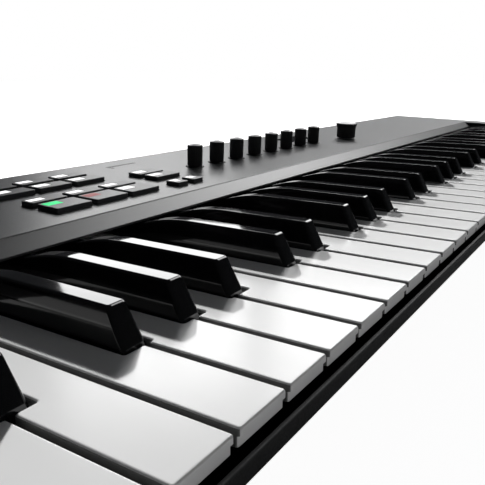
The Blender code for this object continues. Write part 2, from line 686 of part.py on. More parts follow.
def make_display():
    x = KEYS_LEFT + DISPLAY_X
    half = DISPLAY_WIDTH / 2 - GAP
    window = box("display_window", (x - half, DISPLAY_ROW + GAP, GAP - DISPLAY_THICKNESS),
                 (x + half, DISPLAY_ROW + DISPLAY_DEPTH - GAP, GAP), PANEL)
    finish(window, (0.01, 0.01, 0.012), 0.05)


def make_wheels():
    """Each wheel is turned with its axle stubs, and has a thumb notch at the top."""
    sideways = Matrix.Rotation(math.radians(90), 4, "Y")
    reach = WHEEL_HALF_WIDTH + AXLE_RADIUS * 2 + POST_THICKNESS / 2
    inward = WHEEL_SPREAD / 2 - GAP
    rim = WHEEL_RADIUS / 20
    for name, centre in wheel_places():
        high = reach if name == "mod_wheel" else inward
        low = inward if name == "mod_wheel" else reach
        wheel = turned(name, (
            (0, high), (AXLE_RADIUS, high), (AXLE_RADIUS, WHEEL_HALF_WIDTH),
            (WHEEL_RADIUS - rim, WHEEL_HALF_WIDTH), (WHEEL_RADIUS, WHEEL_HALF_WIDTH - rim),
            (WHEEL_RADIUS, rim - WHEEL_HALF_WIDTH), (WHEEL_RADIUS - rim, -WHEEL_HALF_WIDTH),
            (AXLE_RADIUS, -WHEEL_HALF_WIDTH), (AXLE_RADIUS, -low), (0, -low),
        ), Matrix.Translation(centre) @ sideways)
        wheel.modifiers["turn"].steps = ROUND_STEPS * 2
        wheel.modifiers["turn"].render_steps = ROUND_STEPS * 2
        bm = bmesh.new()
        above = WHEEL_RADIUS + WHEEL_NOTCH_RADIUS - WHEEL_NOTCH_DEPTH
        add_cylinder(bm, Matrix.Translation(centre + Vector((0, 0, above))) @ sideways,
                     WHEEL_NOTCH_RADIUS, WHEEL_HALF_WIDTH * 4)
        notch = add_object(name + "_notch", mesh_from(bm, name + "_notch"), cutter=True)
        boolean(wheel, notch, "DIFFERENCE")
        finish(wheel, (0.02, 0.02, 0.021), 0.5)


# Inside and underneath -------------------------------------------------------------------------

def make_keybed_frame():
    top = KEY_TOP_Z - FRAME_DROP
    frame = box("keybed_frame", (KEYS_LEFT, KEY_FRONT + FRAME_FRONT, top - FRAME_THICKNESS),
                (KEYS_RIGHT, KEY_FRONT + FRAME_REAR, top))
    y = KEY_FRONT + KEY_PIVOT
    ridge = box("pivot_ridge", (KEYS_LEFT + WALL, y - PIVOT_RIDGE_HALF, top - FRAME_THICKNESS / 2),
                (KEYS_RIGHT - WALL, y + PIVOT_RIDGE_HALF, KEY_TOP_Z - WHITE_THICKNESS - PIVOT_RIDGE_GAP),
                cutter=True)
    boolean(frame, ridge, "UNION")
    finish(frame, (0.35, 0.35, 0.36), 0.4, 1.0)


def make_main_board():
    x = KEYS_LEFT + ENCODER_X + BOARD_PAST_ENCODER
    rear = DISPLAY_ROW + DISPLAY_DEPTH + BOARD_MARGIN
    main = box("main_board", (LEFT + WALL + BOARD_MARGIN, BOARD_FRONT, -BOARD_DROP - BOARD_THICKNESS),
               (x, rear, -BOARD_DROP), PANEL)
    finish(main, (0.02, 0.12, 0.05), 0.4)


def make_sockets():
    x = LEFT + USB_INSET
    half_width = USB_WIDTH / 2
    half_tall = USB_TALL / 2
    face = REAR - GAP
    usb = box("usb_socket", (x - half_width, face - USB_DEPTH, SOCKET_Z - half_tall),
              (x + half_width, face, SOCKET_Z + half_tall))
    mouth = box("usb_mouth", (x - USB_MOUTH_WIDTH / 2, face - USB_MOUTH_DEPTH, SOCKET_Z - USB_MOUTH_TALL / 2),
                (x + USB_MOUTH_WIDTH / 2, face + PAST, SOCKET_Z + USB_MOUTH_TALL / 2), cutter=True)
    boolean(usb, mouth, "DIFFERENCE")
    finish(usb, (0.6, 0.6, 0.62), 0.3, 1.0)
    backward = Matrix.Rotation(math.radians(-90), 4, "X")
    jack = turned("pedal_jack", (
        (0, -JACK_BORE_DEPTH), (JACK_BORE_RADIUS, -JACK_BORE_DEPTH), (JACK_BORE_RADIUS, 0),
        (JACK_RADIUS, 0), (JACK_RADIUS, -JACK_DEPTH), (0, -JACK_DEPTH),
    ), Matrix.Translation((LEFT + JACK_INSET, face, SOCKET_Z)) @ backward)
    finish(jack, (0.02, 0.02, 0.02), 0.4)


def make_feet():
    front = FRONT + BELLY_SETBACK + FOOT_INSET_FRONT
    rear = REAR - REAR_CHAMFER - FOOT_INSET_REAR
    height = FLOOR_Z - GAP
    for side, x in (("left", LEFT + FOOT_INSET_X), ("right", RIGHT - FOOT_INSET_X)):
        for end, y in (("front", front), ("rear", rear)):
            foot = turned(f"foot_{end}_{side}", (
                (0, height), (FOOT_RADIUS, height), (FOOT_RADIUS, GAP), (FOOT_RADIUS - GAP, 0), (0, 0),
            ), Matrix.Translation((x, y, 0)))
            finish(foot, (0.02, 0.02, 0.02), 0.9)


def main():
    global PARTS, CUTTERS
    clear_scene()
    PARTS = new_collection("midi_keyboard")
    CUTTERS = new_collection("cutters")
    make_top_case()
    make_bottom_case()
    make_keys()
    make_buttons()
    make_octave_rocker()
    make_knobs()
    make_encoder()
    make_display()
    make_wheels()
    make_keybed_frame()
    make_main_board()
    make_sockets()
    make_feet()


main()
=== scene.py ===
"""The looks of the keyboard controller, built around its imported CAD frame.

Units are metres, in the frame of the CAD: +X right along the keys, +Y to the rear, +Z up.
"""

import json
import math

import bmesh
import bpy
from mathutils import Matrix, Vector


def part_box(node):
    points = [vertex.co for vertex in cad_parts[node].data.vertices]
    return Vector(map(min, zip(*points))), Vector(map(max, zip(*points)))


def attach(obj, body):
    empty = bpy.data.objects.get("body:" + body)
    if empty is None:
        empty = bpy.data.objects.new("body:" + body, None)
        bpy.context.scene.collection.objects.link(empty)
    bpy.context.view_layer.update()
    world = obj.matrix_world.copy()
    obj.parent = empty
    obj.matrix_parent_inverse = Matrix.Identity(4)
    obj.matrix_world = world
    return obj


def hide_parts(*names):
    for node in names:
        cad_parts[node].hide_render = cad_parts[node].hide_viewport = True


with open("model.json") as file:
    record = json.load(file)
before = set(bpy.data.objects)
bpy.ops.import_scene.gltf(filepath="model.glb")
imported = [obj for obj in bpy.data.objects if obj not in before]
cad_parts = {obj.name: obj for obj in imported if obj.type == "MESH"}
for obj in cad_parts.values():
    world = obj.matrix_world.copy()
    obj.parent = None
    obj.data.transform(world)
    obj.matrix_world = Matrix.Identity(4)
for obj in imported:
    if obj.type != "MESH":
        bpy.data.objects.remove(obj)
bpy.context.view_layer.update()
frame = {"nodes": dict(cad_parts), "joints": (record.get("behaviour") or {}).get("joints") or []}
MM = 0.001
NODES = frame["nodes"]
JOINTS = {joint["name"]: joint for joint in frame["joints"]}

# The panel plane, from the joints of the first button and the first knob
NORMAL = -Vector(JOINTS["play_press"]["axis"])
ALONG_X = Vector((1, 0, 0))
UP_PANEL = NORMAL.cross(ALONG_X)
PANEL_POINT = Vector((0, *JOINTS["knob_1_turn"]["pos_m"][1:]))
PANEL = Matrix((ALONG_X, UP_PANEL, NORMAL)).transposed().to_4x4()
PANEL.translation = PANEL_POINT

# The keys, from the lowest octave
KEY_LOW, KEY_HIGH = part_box("key_c2")
KEY_FRONT = KEY_LOW.y
KEY_TOP = KEY_HIGH.z
WHITE_WIDTH = KEY_HIGH.x - KEY_LOW.x
WHITE_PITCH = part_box("key_d2")[0].x - KEY_LOW.x
OCTAVE = 7 * WHITE_PITCH
WHITE_NOTES = ("c", "d", "e", "f", "g", "a", "b")
BLACK_NOTES = ("cs", "ds", "fs", "gs", "as")
BLACK_CENTRES = [sum(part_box(f"key_{note}2"), Vector()).x / 2 for note in BLACK_NOTES]
BLACK_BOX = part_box("key_cs2")
BLACK_BASE_HALF = (BLACK_BOX[1].x - BLACK_BOX[0].x) / 2
BLACK_FRONT = BLACK_BOX[0].y
BLACK_TOP = BLACK_BOX[1].z

# The case
CASE_LOW, CASE_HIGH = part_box("top_case")
BOTTOM_LOW, BOTTOM_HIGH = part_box("bottom_case")
OPENING_LEFT = KEY_LOW.x - 1.1 * MM
OPENING_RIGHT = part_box("white_keys_octave_6")[1].x + 1.1 * MM


# Outlines and lofts ----------------------------------------------------------------------------

def rounded_outline(corners, inset=0.0, segments=4):
    """Points of a closed outline, anticlockwise, with rounded corners, moved inward by the inset.

    Each corner is (x, y, radius). A corner with no radius is a plain point on a straight edge.
    """
    points = []
    count = len(corners)
    for index, (x, y, radius) in enumerate(corners):
        here = Vector((x, y))
        before = Vector(corners[index - 1][:2])
        after = Vector(corners[(index + 1) % count][:2])
        way_in = (here - before).normalized()
        way_out = (after - here).normalized()
        left_in = Vector((-way_in.y, way_in.x))
        left_out = Vector((-way_out.y, way_out.x))
        if radius == 0:
            points.append(here + left_in * inset)
            continue
        turn = way_in.x * way_out.y - way_in.y * way_out.x
        side = 1 if turn > 0 else -1
        bisector = (left_in + left_out).normalized()
        centre = here + bisector * (side * radius / bisector.dot(left_in))
        reach = radius - side * inset
        start = math.atan2(-side * left_in.y, -side * left_in.x)
        sweep = math.atan2(turn, way_in.dot(way_out))
        for step in range(segments + 1):
            angle = start + sweep * step / segments
            points.append(centre + Vector((math.cos(angle), math.sin(angle))) * reach)
    return points


def edge_steps(radius, segments=3):
    """(inset, drop) pairs that round an edge, from the side wall up to the flat."""
    steps = []
    for step in range(segments + 1):
        angle = math.pi / 2 * step / segments
        steps.append((radius * (1 - math.cos(angle)), radius * (1 - math.sin(angle))))
    return steps


def loft_faces(bm, rings, cap_last=True):
    """Quads between closed rings of equal length, bottom ring first."""
    made = [[bm.verts.new(point) for point in ring] for ring in rings]
    count = len(made[0])
    for low, high in zip(made, made[1:]):
        for index in range(count):
            following = (index + 1) % count
            bm.faces.new((low[index], low[following], high[following], high[index]))
    bm.faces.new(list(reversed(made[0])))
    if cap_last:
        bm.faces.new(made[-1])
    return made


def slab(bm, corners, low, high, radius, matrix):
    """A flat-topped solid over an outline, with its top edge rounded."""
    levels = [(0, low)]
    levels += [(inset, high - drop) for inset, drop in edge_steps(radius)]
    rings = []
    for inset, height in levels:
        rings.append([matrix @ point.to_3d() + matrix.to_3x3() @ Vector((0, 0, height))
                      for point in rounded_outline(corners, inset)])
    return loft_faces(bm, rings)


def rectangle(x_low, y_low, x_high, y_high, radius):
    """The four corners of an outline, each with the same radius."""
    return [(x_low, y_low, radius), (x_high, y_low, radius), (x_high, y_high, radius),
            (x_low, y_high, radius)]


def turn_faces(bm, profile, segments, matrix, shape=None):
    """A profile of (radius, height), bottom to top, turned about the Z axis of matrix."""
    rings = []
    for radius, height in profile:
        ring = []
        for step in range(segments):
            angle = 2 * math.pi * step / segments
            r = shape(radius, height, angle) if shape else radius
            ring.append(matrix @ Vector((r * math.cos(angle), r * math.sin(angle), height)))
        rings.append(ring)
    return loft_faces(bm, rings)


def piece(name, bm, material, body, replaces=(), sharp=35):
    """Turns a bmesh into a finished piece of the object."""
    mesh = bpy.data.meshes.new(name)
    bmesh.ops.recalc_face_normals(bm, faces=bm.faces)
    bm.to_mesh(mesh)
    bm.free()
    mesh.shade_smooth()
    mesh.set_sharp_from_angle(angle=math.radians(sharp))
    thing = bpy.data.objects.new(name, mesh)
    bpy.context.scene.collection.objects.link(thing)
    weighted = thing.modifiers.new("flats", "WEIGHTED_NORMAL")
    weighted.keep_sharp = True
    mesh.materials.append(material)
    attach(thing, body)
    if replaces:
        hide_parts(*replaces)
    return thing


def bake(thing, modifier):
    """Applies a piece's modifier for good, leaving the weighted normals to the end."""
    weighted = thing.modifiers["flats"]
    weighted.show_viewport = False
    depsgraph = bpy.context.evaluated_depsgraph_get()
    depsgraph.update()
    result = bpy.data.meshes.new_from_object(thing.evaluated_get(depsgraph))
    weighted.show_viewport = True
    thing.modifiers.remove(modifier)
    thing.data = result


def cut(thing, cutter_bm):
    """Cuts the cutter's shape out of a piece, for good."""
    mesh = bpy.data.meshes.new("cutter")
    bmesh.ops.recalc_face_normals(cutter_bm, faces=cutter_bm.faces)
    cutter_bm.to_mesh(mesh)
    cutter_bm.free()
    cutter = bpy.data.objects.new("cutter", mesh)
    bpy.context.scene.collection.objects.link(cutter)
    modifier = thing.modifiers.new("cut", "BOOLEAN")
    modifier.operation = "DIFFERENCE"
    modifier.solver = "EXACT"
    modifier.object = cutter
    thing.modifiers.move(len(thing.modifiers) - 1, 0)
    bpy.context.view_layer.update()
    bake(thing, modifier)
    bpy.data.objects.remove(cutter, do_unlink=True)


# Materials -------------------------------------------------------------------------------------

def new_material(name, colour, roughness, metallic=0.0):
    """A material, its nodes and links, and its main shader."""
    material = bpy.data.materials.new(name)
    material.use_nodes = True
    nodes = material.node_tree.nodes
    shader = nodes["Principled BSDF"]
    shader.inputs["Base Color"].default_value = (*colour, 1)
    shader.inputs["Roughness"].default_value = roughness
    shader.inputs["Metallic"].default_value = metallic
    return material, nodes, material.node_tree.links, shader


def noise(nodes, links, coordinates, scale, detail):
    """Noise in the object's own space."""
    made = nodes.new("ShaderNodeTexNoise")
    made.inputs["Scale"].default_value = scale
    made.inputs["Detail"].default_value = detail
    made.inputs["Roughness"].default_value = 0.55
    links.new(coordinates.outputs["Object"], made.inputs["Vector"])
    return made


def spread(nodes, links, source, low, high, start=0.3, end=0.7):
    """Maps a noise value to a range between low and high."""
    made = nodes.new("ShaderNodeMapRange")
    made.inputs["From Min"].default_value = start
    made.inputs["From Max"].default_value = end
    made.inputs["To Min"].default_value = low
    made.inputs["To Max"].default_value = high
    links.new(source, made.inputs["Value"])
    return made.outputs["Result"]


def tint(nodes, links, factor, dark, light):
    """A colour between dark and light."""
    made = nodes.new("ShaderNodeMix")
    made.data_type = "RGBA"
    made.inputs["A"].default_value = (*dark, 1)
    made.inputs["B"].default_value = (*light, 1)
    links.new(factor, made.inputs["Factor"])
    return made.outputs["Result"]


def add_bump(nodes, links, shader, height, strength, distance):
    made = nodes.new("ShaderNodeBump")
    made.inputs["Strength"].default_value = strength
    made.inputs["Distance"].default_value = distance
    links.new(height, made.inputs["Height"])
    links.new(made.outputs["Normal"], shader.inputs["Normal"])


def textured_plastic(name, dark, light, rough_low, rough_high, grain, depth, shine=0.5):
    """Moulded plastic: fine grain in the bump, slow drift in colour and roughness."""
    material, nodes, links, shader = new_material(name, dark, rough_low)
    shader.inputs["Specular IOR Level"].default_value = shine
    coordinates = nodes.new("ShaderNodeTexCoord")
    slow = noise(nodes, links, coordinates, 9.0, 2.0)
    fine = noise(nodes, links, coordinates, grain, 2.0)
    links.new(tint(nodes, links, slow.outputs["Fac"], dark, light), shader.inputs["Base Color"])
    roughness = spread(nodes, links, fine.outputs["Fac"], rough_low, rough_high)
    links.new(roughness, shader.inputs["Roughness"])
    add_bump(nodes, links, shader, fine.outputs["Fac"], 0.5, depth)
    return material


def polished_plastic(name, dark, light, rough_low, rough_high, coat=0.0):
    """Glossy moulded plastic with faint wipe marks, under an optional clear coat."""
    material, nodes, links, shader = new_material(name, dark, rough_low)
    shader.inputs["Coat Weight"].default_value = coat
    shader.inputs["Coat Roughness"].default_value = 0.03
    coordinates = nodes.new("ShaderNodeTexCoord")
    slow = noise(nodes, links, coordinates, 14.0, 3.0)
    wipe = nodes.new("ShaderNodeMapping")
    wipe.inputs["Scale"].default_value = (160.0, 12.0, 40.0)
    links.new(coordinates.outputs["Object"], wipe.inputs["Vector"])
    marks = nodes.new("ShaderNodeTexNoise")
    marks.inputs["Scale"].default_value = 3.0
    marks.inputs["Detail"].default_value = 4.0
    links.new(wipe.outputs["Vector"], marks.inputs["Vector"])
    links.new(tint(nodes, links, slow.outputs["Fac"], dark, light), shader.inputs["Base Color"])
    roughness = spread(nodes, links, marks.outputs["Fac"], rough_low, rough_high)
    links.new(roughness, shader.inputs["Roughness"])
    return material


def glowing(name, colour, strength):
    """A backlit legend: a light plastic inlay with an uneven glow."""
    material, nodes, links, shader = new_material(name, colour, 0.5)
    shader.inputs["Emission Strength"].default_value = strength
    shader.inputs["Specular IOR Level"].default_value = 0.1
    coordinates = nodes.new("ShaderNodeTexCoord")
    uneven = noise(nodes, links, coordinates, 160.0, 2.0)
    darker = tuple(channel * 0.82 for channel in colour)
    mixed = tint(nodes, links, uneven.outputs["Fac"], darker, colour)
    links.new(mixed, shader.inputs["Base Color"])
    links.new(mixed, shader.inputs["Emission Color"])
    return material


def brushed_metal(name, dark, light, rough_low, rough_high, stretch):
    """Metal with fine lines along the axis that is stretched least."""
    material, nodes, links, shader = new_material(name, dark, rough_low, 1.0)
    coordinates = nodes.new("ShaderNodeTexCoord")
    mapping = nodes.new("ShaderNodeMapping")
    mapping.inputs["Scale"].default_value = stretch
    links.new(coordinates.outputs["Object"], mapping.inputs["Vector"])
    lines = nodes.new("ShaderNodeTexNoise")
    lines.inputs["Scale"].default_value = 12.0
    lines.inputs["Detail"].default_value = 4.0
    links.new(mapping.outputs["Vector"], lines.inputs["Vector"])
    links.new(tint(nodes, links, lines.outputs["Fac"], dark, light), shader.inputs["Base Color"])
    roughness = spread(nodes, links, lines.outputs["Fac"], rough_low, rough_high)
    links.new(roughness, shader.inputs["Roughness"])
    add_bump(nodes, links, shader, lines.outputs["Fac"], 0.2, 0.00005)
    return material


CASE_TOP = textured_plastic(
    "case_satin", (0.030, 0.031, 0.033), (0.038, 0.039, 0.041), 0.30, 0.40, 2600.0, 0.00002)
CASE_BOTTOM = textured_plastic(
    "case_matt", (0.009, 0.009, 0.0095), (0.013, 0.013, 0.014), 0.5, 0.65, 1800.0, 0.00004, 0.25)
WHITE_KEY = polished_plastic(
    "white_key_gloss", (0.80, 0.80, 0.795), (0.82, 0.82, 0.815), 0.20, 0.24)
# Painted shade: the white keys' side walls are coloured grey to stand in for the shadow that falls
# in the gaps between keys.
WHITE_GAP_PAINTED_SHADE = textured_plastic(
    "white_key_side", (0.16, 0.16, 0.158), (0.2, 0.2, 0.198), 0.5, 0.6, 1500.0, 0.00002)
BLACK_KEY = polished_plastic(
    "black_key_gloss", (0.003, 0.003, 0.0035), (0.005, 0.005, 0.0055), 0.055, 0.085)
BUTTON = textured_plastic(
    "button_satin", (0.034, 0.035, 0.037), (0.042, 0.043, 0.045), 0.34, 0.44, 2600.0, 0.00002)
KNOB_SIDE = textured_plastic(
    "knob_rubber", (0.008, 0.008, 0.0085), (0.013, 0.013, 0.014), 0.42, 0.6, 1500.0, 0.00003)
KNOB_TOP = textured_plastic(
    "knob_cap", (0.46, 0.46, 0.465), (0.52, 0.52, 0.525), 0.3, 0.4, 2400.0, 0.00002)
WHEEL_SKIN = textured_plastic(
    "wheel_soft_touch", (0.010, 0.010, 0.011), (0.018, 0.018, 0.019), 0.5, 0.68, 1300.0, 0.00005)
RUBBER = textured_plastic(
    "foot_rubber", (0.012, 0.012, 0.012), (0.022, 0.022, 0.022), 0.75, 0.92, 900.0, 0.0001)
JACK = textured_plastic(
    "jack_plastic", (0.012, 0.012, 0.012), (0.02, 0.02, 0.02), 0.35, 0.5, 1500.0, 0.00004)
MASK = textured_plastic(
    "solder_mask", (0.006, 0.035, 0.018), (0.010, 0.055, 0.026), 0.25, 0.45, 700.0, 0.00005)
MARK = textured_plastic(
    "printed_mark", (0.015, 0.015, 0.016), (0.02, 0.02, 0.021), 0.5, 0.6, 1500.0, 0.00001)
GLASS = polished_plastic(
    "display_glass", (0.004, 0.004, 0.005), (0.007, 0.007, 0.009), 0.03, 0.07, 0.5)
STEEL = brushed_metal(
    "pressed_steel", (0.42, 0.42, 0.43), (0.56, 0.56, 0.57), 0.28, 0.42, (2.0, 60.0, 60.0))
PLATED = brushed_metal(
    "plated_shell", (0.55, 0.55, 0.57), (0.7, 0.7, 0.72), 0.18, 0.3, (60.0, 4.0, 60.0))
GLOW_WHITE = glowing("legend_white", (0.93, 0.93, 0.93), 0.55)
GLOW_GREEN = glowing("legend_green", (0.03, 0.62, 0.20), 0.75)
GLOW_RED = glowing("legend_red", (0.30, 0.10, 0.10), 0.4)


# Keys ------------------------------------------------------------------------------------------

WHITE_EDGE = 0.9 * MM
WHITE_INSET = 0.4 * MM
WHITE_CORNER = 1.0 * MM
WHITE_LIP = 2.2 * MM
LIP_RECESS = 0.8 * MM
SKIRT_DEPTH = 5.3 * MM
NOSE = 9 * MM
WHITE_DEPTH = 12 * MM
BLACK_CLEARANCE = 0.9 * MM
WHITE_LENGTH = 156 * MM
NOTCH_CORNER = 0.7 * MM
BLACK_ALONG_TOP = 6.8 * MM
BLACK_TOP_HALF = 3.7 * MM
BLACK_EDGE = 0.9 * MM
BLACK_BASE_DROP = 1.8 * MM
BLACK_BOTTOM_DROP = 9.8 * MM
BLACK_SHOULDER = 101 * MM
BLACK_LIP = 129.5 * MM
BLACK_LIP_HEIGHT = 7 * MM
BLACK_TAIL_HEIGHT = 5.5 * MM
BLACK_END = 148 * MM
BLACK_CORNER = 1.5 * MM
BLACK_FRONT_POINTS = 10
WHITE_COUNT = 36
OCTAVES = 5


def white_corners(left, right, front, left_cut, right_cut):
    """Outline of a white key from above. A cut is the X of the narrow tail's side, or None."""
    rear = KEY_FRONT + WHITE_LENGTH
    cut_y = BLACK_FRONT - BLACK_CLEARANCE
    corners = [(left, front, WHITE_CORNER), (right, front, WHITE_CORNER)]
    if right_cut is not None:
        corners += [(right, cut_y, WHITE_CORNER), (right_cut, cut_y, NOTCH_CORNER)]
        corners.append((right_cut, rear, NOTCH_CORNER))
    else:
        corners.append((right, rear, NOTCH_CORNER))
    if left_cut is not None:
        corners += [(left_cut, rear, NOTCH_CORNER), (left_cut, cut_y, NOTCH_CORNER)]
        corners.append((left, cut_y, WHITE_CORNER))
    else:
        corners.append((left, rear, NOTCH_CORNER))
    return corners


def white_cuts(index):
    """X of a white key's two sides, and of the cut-outs for the black keys beside it."""
    left = KEY_LOW.x + index * WHITE_PITCH + WHITE_INSET
    right = left + WHITE_WIDTH - 2 * WHITE_INSET
    reach = BLACK_BASE_HALF + BLACK_CLEARANCE
    left_cut = None
    right_cut = None
    for octave in range(OCTAVES):
        for centre in BLACK_CENTRES:
            x = centre + octave * OCTAVE
            if x - reach < left < x + reach:
                left_cut = x + reach
            if x - reach < right < x + reach:
                right_cut = x - reach
    return left, right, left_cut, right_cut


def make_white_key(index, name, body, node):
    """A white key with an overhanging lip, a skirt under it and side walls painted grey as the
    shade in the gaps between keys.
    """
    left, right, left_cut, right_cut = white_cuts(index)
    levels = [(NOSE, 0, WHITE_DEPTH), (NOSE, 0, SKIRT_DEPTH), (LIP_RECESS, 0, SKIRT_DEPTH),
              (LIP_RECESS, 0, WHITE_LIP + LIP_RECESS / 2), (0, 0, WHITE_LIP)]
    levels += [(0, inset, drop) for inset, drop in edge_steps(WHITE_EDGE)]
    rings = []
    for setback, inset, drop in levels:
        corners = white_corners(left, right, KEY_FRONT + setback, left_cut, right_cut)
        rings.append([(point.x, point.y, KEY_TOP - drop)
                      for point in rounded_outline(corners, inset)])
    bm = bmesh.new()
    loft_faces(bm, rings)
    key = piece(name, bm, WHITE_KEY, body, [node])
    # Faces that point sideways get the painted shade of the gaps, not the white key colour.
    key.data.materials.append(WHITE_GAP_PAINTED_SHADE)
    for face in key.data.polygons:
        face.material_index = int(abs(face.normal.x) > 0.8)
    return key


def black_top(y):
    """Height of a black key's top at y."""
    along = y - KEY_FRONT
    if along <= BLACK_SHOULDER:
        return BLACK_TOP
    height = BLACK_TOP - KEY_TOP
    if along <= BLACK_LIP:
        turn = (along - BLACK_SHOULDER) / (BLACK_LIP - BLACK_SHOULDER)
        return BLACK_TOP - (height - BLACK_LIP_HEIGHT) * turn ** 2
    return KEY_TOP + BLACK_TAIL_HEIGHT


def black_ring(x, half, front, inset, drop_of):
    """One level of a black key: front corners, then stations along both sides to the rear."""
    stations = [BLACK_SHOULDER + (BLACK_LIP - BLACK_SHOULDER) * step / 8 for step in range(9)]
    stations = [KEY_FRONT + along for along in stations]
    rear = KEY_FRONT + BLACK_END
    corners = [(x - half, front, BLACK_CORNER), (x + half, front, BLACK_CORNER)]
    corners += [(x + half, y, 0) for y in stations]
    corners += [(x + half, rear, BLACK_CORNER), (x - half, rear, BLACK_CORNER)]
    corners += [(x - half, y, 0) for y in reversed(stations)]
    points = rounded_outline(corners, inset)
    return [(point.x, point.y, drop_of(point.y)) for point in points]


def make_black_key(x, name, body, node):
    """A black key that narrows upward, with a sloping front and a long dip to its tail."""
    base = KEY_TOP - BLACK_BASE_DROP
    bottom = KEY_TOP - BLACK_BOTTOM_DROP
    rise = BLACK_TOP - base
    rings = [
        black_ring(x, BLACK_BASE_HALF, BLACK_FRONT, 0, lambda y: bottom),
        black_ring(x, BLACK_BASE_HALF, BLACK_FRONT, 0, lambda y: base),
    ]
    for inset, drop in edge_steps(BLACK_EDGE, 5):
        share = 1 - drop / rise
        half = BLACK_BASE_HALF + (BLACK_TOP_HALF - BLACK_BASE_HALF) * share
        front = BLACK_FRONT + BLACK_ALONG_TOP * share
        rings.append(black_ring(x, half, front, inset, lambda y, drop=drop: black_top(y) - drop))
    bm = bmesh.new()
    made = loft_faces(bm, rings, cap_last=False)
    close_black_top(bm, made[-1])
    return piece(name, bm, BLACK_KEY, body, [node], sharp=50)


def close_black_top(bm, ring):
    """Fills the curved top with strips between matching points of the two long sides."""
    count = len(ring)
    half = (count - BLACK_FRONT_POINTS) // 2
    right = ring[BLACK_FRONT_POINTS - 1:BLACK_FRONT_POINTS + half]
    left = [ring[(count - step) % count] for step in range(half + 1)]
    bm.faces.new(ring[:BLACK_FRONT_POINTS])
    for low_r, high_r, low_l, high_l in zip(right, right[1:], left, left[1:]):
        bm.faces.new((low_r, high_r, high_l, low_l))


def make_keys():
    """All the keys: the lowest octave moves key by key, the others an octave at a time."""
    for index in range(WHITE_COUNT):
        octave, step = divmod(index, 7)
        label = f"{WHITE_NOTES[step]}{octave + 2}"
        if octave == 0:
            body = node = f"key_{label}"
        else:
            body = node = f"white_keys_octave_{min(octave, OCTAVES - 1) + 2}"
        make_white_key(index, f"white_key_{label}", body, node)
    for octave in range(OCTAVES):
        for note, centre in zip(BLACK_NOTES, BLACK_CENTRES):
            label = f"{note}{octave + 2}"
            body = node = f"key_{label}" if octave == 0 else f"black_keys_octave_{octave + 2}"
            make_black_key(centre + octave * OCTAVE, f"black_key_{label}", body, node)


# Case ------------------------------------------------------------------------------------------

PANEL_EDGE = 0.7 * MM
PANEL_CORNER = 3.5 * MM
PANEL_THICKNESS = 3.4 * MM
REAR_CHAMFER = 3.0 * MM
SEAM = 0.5 * MM
WALL = 2.5 * MM
HOLE_GAP = 0.35 * MM
HOLE_CHAMFER = 0.25 * MM
FRONT_REVEAL = 0.8 * MM
RAIL_OVERHANG = 0.15 * MM
OPENING_CORNER = 3.0 * MM
LIP_DROP = 6.5 * MM
LIP_RUN = 7.5 * MM
LIP_ROUND = 0.7 * MM
PAST = 20 * MM
OPENING_DEPTH = 109 * MM
FASCIA_THICKNESS = 2.2 * MM
LIP_LAND = 4.5 * MM
WALL_REVEAL = 0.25 * MM
WALL_CORNER = 3.2 * MM
WALL_END_CORNER = 0.4 * MM
BOTTOM_SETBACK = 28 * MM
BOTTOM_CHAMFER = 7 * MM
BOTTOM_ROUND = 5 * MM
BOTTOM_CORNER = 6 * MM
BOTTOM_WALL = 1.0 * MM
RAIL_THICKNESS = 1.6 * MM
RAIL_TOP = KEY_TOP - 6.2 * MM
SHAFT_HOLE = 3.4 * MM


def panel_coordinates(point):
    return PANEL.inverted() @ Vector(point)


def panel_box(node):
    """Lowest and highest corners of a CAD node in the panel's own frame."""
    local = [panel_coordinates(vert.co) for vert in NODES[node].data.vertices]
    low = Vector([min(point[axis] for point in local) for axis in range(3)])
    high = Vector([max(point[axis] for point in local) for axis in range(3)])
    return low, high


def panel_z(y):
    """Height of the panel plane at y."""
    return PANEL_POINT.z - (y - PANEL_POINT.y) * NORMAL.y / NORMAL.z


def panel_along(y):
    """Distance up the panel, in its own frame, of the plane's points at y."""
    return (y - PANEL_POINT.y) / UP_PANEL.y


BUTTON_NODES = sorted(name for name in NODES if name.endswith("_button"))
KNOB_NUMBERS = range(1, 9)
WHEEL_NODES = ("pitch_wheel", "mod_wheel")
CREASE_Y = CASE_HIGH.y - OPENING_DEPTH
CREASE = panel_along(CREASE_Y)
CREASE_Z = panel_z(CREASE_Y)
LIP_REAR = CREASE_Y + 6 * MM


def panel_corners(edge, setback):
    """Plan of the top of the case in the panel's frame, around the space for the keys."""
    front = panel_along(CASE_LOW.y)
    rear = panel_along(CASE_HIGH.y) - setback
    return [
        (CASE_LOW.x, front, PANEL_CORNER), (OPENING_LEFT, front, PANEL_CORNER),
        (OPENING_LEFT, edge, OPENING_CORNER), (OPENING_RIGHT, edge, OPENING_CORNER),
        (OPENING_RIGHT, front, PANEL_CORNER), (CASE_HIGH.x, front, PANEL_CORNER),
        (CASE_HIGH.x, rear, PANEL_CORNER), (CASE_LOW.x, rear, PANEL_CORNER),
    ]


def add_hole(bm, corners):
    """A straight cutter through the panel, flared at its mouth so that the hole gets a chamfer."""
    rings = []
    for inset, height in ((0, -PAST), (0, -HOLE_CHAMFER), (-HOLE_CHAMFER, 0),
                          (-HOLE_CHAMFER, PAST)):
        rings.append([PANEL @ Vector((point.x, point.y, height))
                      for point in rounded_outline(corners, inset)])
    loft_faces(bm, rings)


def circle(x, y, radius):
    """A square whose rounded corners all but meet."""
    return rectangle(x - radius, y - radius, x + radius, y + radius, radius * 0.999)


def cut_line(low, high, corner):
    """Outline of the hole for a part of the panel, with a gap all round."""
    return rectangle(low.x - HOLE_GAP, low.y - HOLE_GAP,
                     high.x + HOLE_GAP, high.y + HOLE_GAP, corner)


